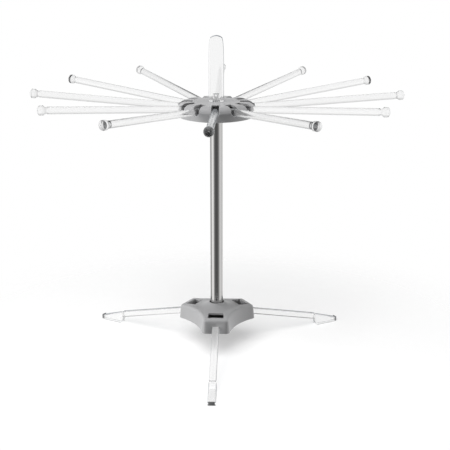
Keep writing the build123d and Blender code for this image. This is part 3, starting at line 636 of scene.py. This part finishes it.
def paleFloor():
    # a matt white card that keeps the object's shadow and fades into the white behind it
    material, tree = startMaterial("paleFloor")
    place = addNode(tree, "ShaderNodeTexCoord")
    away = addNode(tree, "ShaderNodeVectorMath", settings={"operation": "LENGTH"}, links={0: place.outputs["Object"]})
    fade = addNode(tree, "ShaderNodeMapRange", settings={"interpolation_type": "SMOOTHSTEP"},
                   inputs={"From Min": floorSizes["fadeFrom"], "From Max": floorSizes["fadeTo"]},
                   links={"Value": away.outputs["Value"]})
    card = addNode(tree, "ShaderNodeBsdfDiffuse", inputs={"Color": linearColour(floorSizes["colour"])})
    white = addNode(tree, "ShaderNodeEmission", inputs={"Color": (1, 1, 1, 1), "Strength": floorSizes["white"]})
    lit = addNode(tree, "ShaderNodeMixShader", inputs={"Fac": 1 - floorSizes["shadowShare"]},
                  links={1: card.outputs["BSDF"], 2: white.outputs["Emission"]})
    # the camera sees it, also through the clear plastic, and for all other light the world goes on below it
    path = addNode(tree, "ShaderNodeLightPath")
    seen = addNode(tree, "ShaderNodeMath", settings={"operation": "MAXIMUM"},
                   links={0: path.outputs["Is Camera Ray"], 1: path.outputs["Is Transmission Ray"]})
    near = addNode(tree, "ShaderNodeMath", settings={"operation": "SUBTRACT"}, inputs={0: 1.0},
                   links={1: fade.outputs["Result"]})
    cover = addNode(tree, "ShaderNodeMath", settings={"operation": "MULTIPLY"},
                    links={0: seen.outputs["Value"], 1: near.outputs["Value"]})
    clearing = addNode(tree, "ShaderNodeBsdfTransparent")
    mixed = addNode(tree, "ShaderNodeMixShader",
                    links={"Fac": cover.outputs["Value"], 1: clearing.outputs["BSDF"], 2: lit.outputs["Shader"]})
    addNode(tree, "ShaderNodeOutputMaterial", links={"Surface": mixed.outputs["Shader"]})
    return material


shape = bmesh.new()
bmesh.ops.create_circle(shape, cap_ends=True, radius=floorSizes["radius"], segments=floorSizes["segments"])
floor = asObject(shape, "floor", paleFloor())


# The studio round the object.
# cards: how bright it is as (turn, strength), round from the front (0) through the right (0.25)
studio = dict(cards=((0.0, 0.11), (0.05, 0.12), (0.09, 0.2), (0.14, 0.5), (0.19, 1.05), (0.25, 0.8), (0.33, 0.85),
                     (0.45, 1.0), (0.55, 1.0), (0.62, 0.5), (0.71, 0.5), (0.765, 1.3), (0.84, 1.15), (0.885, 0.35),
                     (0.94, 0.13)),
              brightest=2.0, overhead=0.12, overheadFrom=0.12, overheadTo=0.45, whiteThroughPlastic=0.7)


def studioWorld():
    world = bpy.data.worlds.new("studio")
    world.use_nodes = True
    tree = world.node_tree
    tree.nodes.clear()
    place = addNode(tree, "ShaderNodeTexCoord")
    direction = addNode(tree, "ShaderNodeSeparateXYZ", links={"Vector": place.outputs["Generated"]})
    forwards = addNode(tree, "ShaderNodeMath", settings={"operation": "MULTIPLY"}, inputs={1: -1.0},
                       links={0: direction.outputs["Y"]})
    azimuth = addNode(tree, "ShaderNodeMath", settings={"operation": "ARCTAN2"},
                      links={0: direction.outputs["X"], 1: forwards.outputs["Value"]})
    turns = addNode(tree, "ShaderNodeMath", settings={"operation": "DIVIDE"}, inputs={1: 2 * math.pi},
                    links={0: azimuth.outputs["Value"]})
    wrapped = addNode(tree, "ShaderNodeMath", settings={"operation": "FRACT"}, links={0: turns.outputs["Value"]})
    cards = addNode(tree, "ShaderNodeValToRGB", links={"Fac": wrapped.outputs["Value"]})
    # a ramp holds no more than 1, so it holds the shares of the brightest level
    ramp = cards.color_ramp
    ramp.interpolation = "LINEAR"
    stops = list(studio["cards"]) + [(1.0, studio["cards"][0][1])]
    ramp.elements[0].position, ramp.elements[1].position = 0.0, 1.0
    for position, strength in stops[1:-1]:
        ramp.elements.new(position)
    for element, (position, strength) in zip(ramp.elements, stops):
        share = strength / studio["brightest"]
        element.position = position
        element.color = (share, share, share, 1)
    around = addNode(tree, "ShaderNodeMath", settings={"operation": "MULTIPLY"}, inputs={1: studio["brightest"]},
                     links={0: cards.outputs["Color"]})
    upwards = addNode(tree, "ShaderNodeMapRange", settings={"interpolation_type": "SMOOTHSTEP"},
                      inputs={"From Min": studio["overheadFrom"], "From Max": studio["overheadTo"]},
                      links={"Value": direction.outputs["Z"]})
    strength = addNode(tree, "ShaderNodeMix", settings={"data_type": "FLOAT"},  # its numbers are sockets 2 and 3
                       inputs={3: studio["overhead"]},
                       links={"Factor": upwards.outputs["Result"], 2: around.outputs["Value"]})
    lit = addNode(tree, "ShaderNodeBackground", inputs={"Color": (1, 1, 1, 1)},
                  links={"Strength": strength.outputs[0]})
    # the camera sees plain white, and so does most of what shows through the clear plastic
    seen = addNode(tree, "ShaderNodeBackground", inputs={"Color": (1, 1, 1, 1), "Strength": 1.0})
    path = addNode(tree, "ShaderNodeLightPath")
    through = addNode(tree, "ShaderNodeMath", settings={"operation": "MULTIPLY"},
                      inputs={1: studio["whiteThroughPlastic"]}, links={0: path.outputs["Is Transmission Ray"]})
    whiteShare = addNode(tree, "ShaderNodeMath", settings={"operation": "MAXIMUM"},
                         links={0: path.outputs["Is Camera Ray"], 1: through.outputs["Value"]})
    mixed = addNode(tree, "ShaderNodeMixShader",
                    links={"Fac": whiteShare.outputs["Value"], 1: lit.outputs["Background"],
                           2: seen.outputs["Background"]})
    addNode(tree, "ShaderNodeOutputWorld", links={"Surface": mixed.outputs["Shader"]})
    return world


bpy.context.scene.world = studioWorld()


# The lamps. The floor has a wide one of its own, so that it is white without more light on the object.
allButFloor = bpy.data.collections.new("allButFloor")
allButFloor.objects.link(floor)
allButFloor.collection_objects[0].light_linking.link_state = "EXCLUDE"
floorOnly = bpy.data.collections.new("floorOnly")
floorOnly.objects.link(floor)
lamps = dict(
    sideLeft=dict(place=(-1.35, -0.45, 0.6), target=(0, 0, 0.2), size=0.8, power=22, lights=allButFloor),
    sideRight=dict(place=(1.4, 0.3, 0.75), target=(0, 0, 0.2), size=0.8, power=10, lights=allButFloor),
    overhead=dict(place=(-0.15, -0.2, 3.5), target=(0, 0, 0.2), size=1.1, power=78, lights=allButFloor),
    aboveFloor=dict(place=(-0.5, -1.5, 2.2), target=(0, 0, 0), size=2.4, power=98, lights=floorOnly))


def softbox(name, place, target, size, power, lights):
    # a square soft light that draws no streak of its own in the clear plastic
    lamp = bpy.data.lights.new(name, "AREA")
    lamp.shape, lamp.size, lamp.energy = "SQUARE", size, power
    holder = placedObject(name, lamp)
    holder.visible_glossy = holder.visible_transmission = False
    holder.location = place
    holder.rotation_euler = (Vector(target) - Vector(place)).to_track_quat("-Z", "Y").to_euler()
    holder.light_linking.receiver_collection = lights


for name, lamp in lamps.items():
    softbox(name, **lamp)


# The camera, placed by its distance, its height and the angles that it looks along.
view = dict(lens=89.28, sensor=36.0, distance=1.357, height=0.5645, pitch=16.49, yaw=0.45, turn=2.0)
camera = bpy.data.cameras.new("camera")
camera.lens, camera.sensor_width = view["lens"], view["sensor"]
turn = math.radians(view["turn"])
holder = placedObject("camera", camera)
holder.location = (view["distance"] * math.sin(turn), -view["distance"] * math.cos(turn), view["height"])
holder.rotation_euler = (math.radians(90 - view["pitch"]), 0, turn - math.radians(view["yaw"]))
bpy.context.scene.camera = holder
print("stage set")
